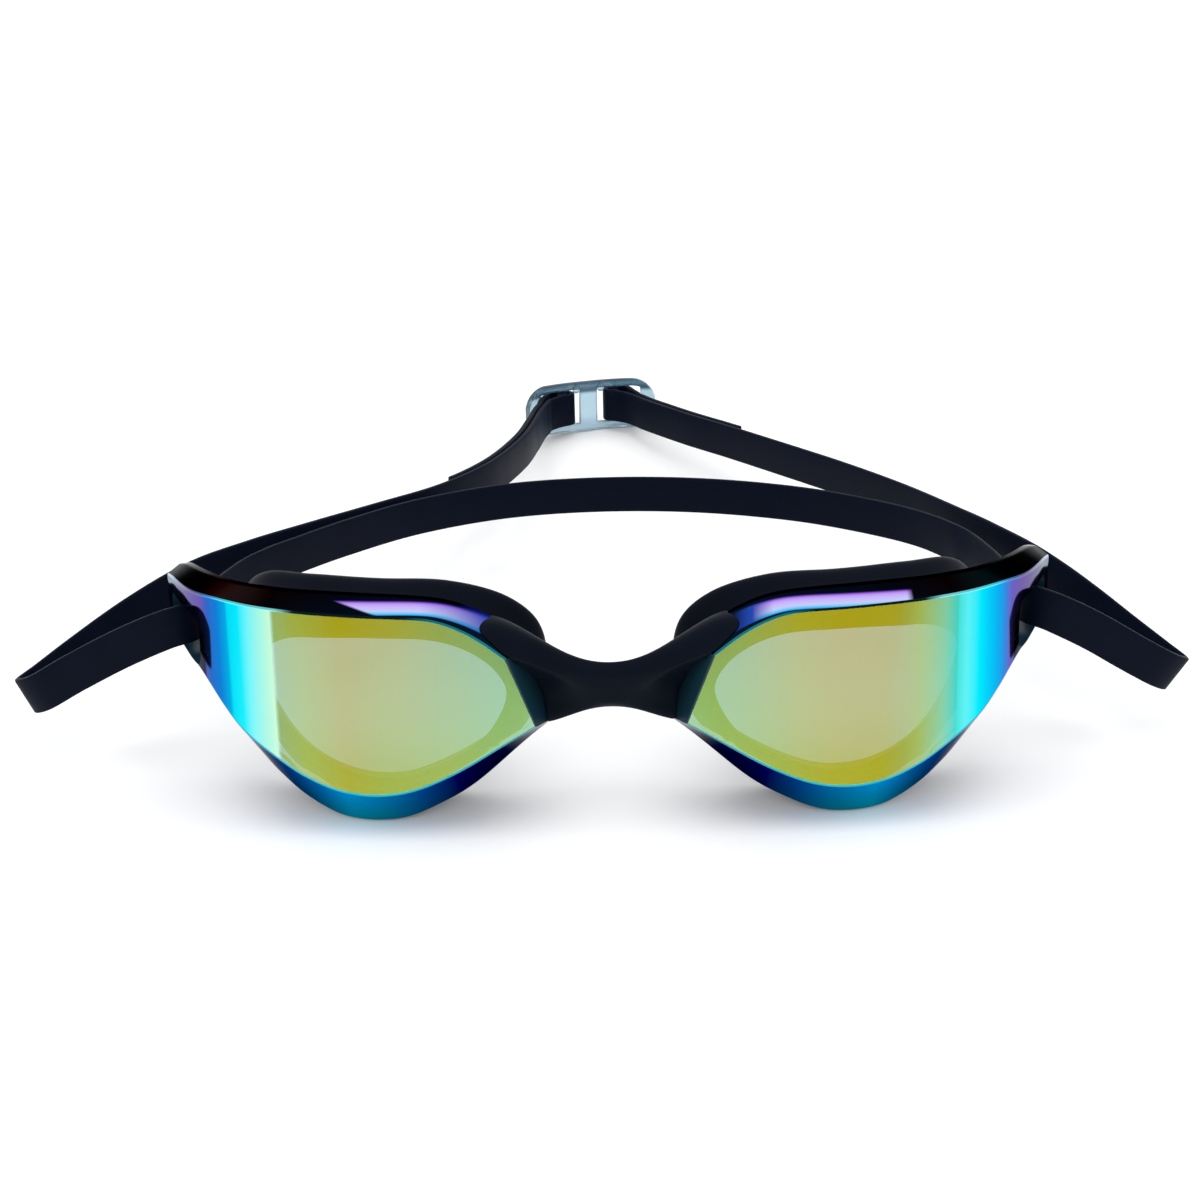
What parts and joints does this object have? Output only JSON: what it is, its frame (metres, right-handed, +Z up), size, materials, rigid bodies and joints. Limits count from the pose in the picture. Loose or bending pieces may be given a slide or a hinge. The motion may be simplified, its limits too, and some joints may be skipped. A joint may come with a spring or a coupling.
{
  "type": "swim goggles",
  "caption": "Racing swim goggles: mirrored wrap lenses on soft eye seals, a nose bridge, and a long strap with slack temple loops and a clear rear clip.",
  "frame": {"origin": "centre of the footprint on the table that the goggles stand on, at table height", "axes": "+X towards the wearer's left temple, +Y towards the back of the head, +Z up off the table"},
  "size_m": [0.2014, 0.1672, 0.04],
  "materials": {
    "mirror_lens": "mirror-coated polycarbonate, yellow-green in front and blue to violet at the temples",
    "black_silicone": "soft satin black silicone",
    "strap_silicone": "smooth matte navy-black silicone",
    "clear_clip": "clear polycarbonate, faintly blue"
  },
  "bodies": {
    "bridge": {"nose_bridge": "black_silicone"},
    "left_cup": {"lens_left": "mirror_lens", "seal_left": "black_silicone", "strap_loop_left": "strap_silicone"},
    "right_cup": {"lens_right": "mirror_lens", "seal_right": "black_silicone", "strap_loop_right": "strap_silicone"},
    "head_band": {"strap_inner_band": "strap_silicone", "strap_twist_inner_left": "strap_silicone", "strap_twist_inner_right": "strap_silicone"},
    "clip_band": {"strap_outer_left": "strap_silicone", "strap_outer_right": "strap_silicone", "rear_clip": "clear_clip", "strap_twist_outer_left": "strap_silicone", "strap_twist_outer_right": "strap_silicone"}
  },
  "joints": [
    {"name": "cup_flex_left", "type": "hinge", "parent": "bridge", "child": "left_cup", "pos_m": [0.0074, -0.07694, 0.02542], "axis": [0, 0.1571, 0.9876], "range_deg": [-5, 8], "stiffness_Nm_per_rad": 0.12, "deforming": ["nose_bridge"]},
    {"name": "cup_flex_right", "type": "hinge", "parent": "bridge", "child": "right_cup", "pos_m": [-0.0046, -0.07694, 0.02542], "axis": [0, -0.1571, -0.9876], "range_deg": [-5, 8], "stiffness_Nm_per_rad": 0.12, "deforming": ["nose_bridge"]},
    {"name": "head_band_swing", "type": "hinge", "parent": "bridge", "child": "head_band", "pos_m": [0.0014, -0.05401, 0.02632], "axis": [1, 0, 0], "range_deg": [-30, 45], "stiffness_Nm_per_rad": 0.02, "deforming": ["strap_twist_inner_left", "strap_twist_inner_right"]},
    {"name": "clip_band_swing", "type": "hinge", "parent": "bridge", "child": "clip_band", "pos_m": [0.0014, -0.05401, 0.02632], "axis": [1, 0, 0], "range_deg": [-30, 45], "stiffness_Nm_per_rad": 0.15, "deforming": ["strap_twist_outer_left", "strap_twist_outer_right"]}
  ]
}
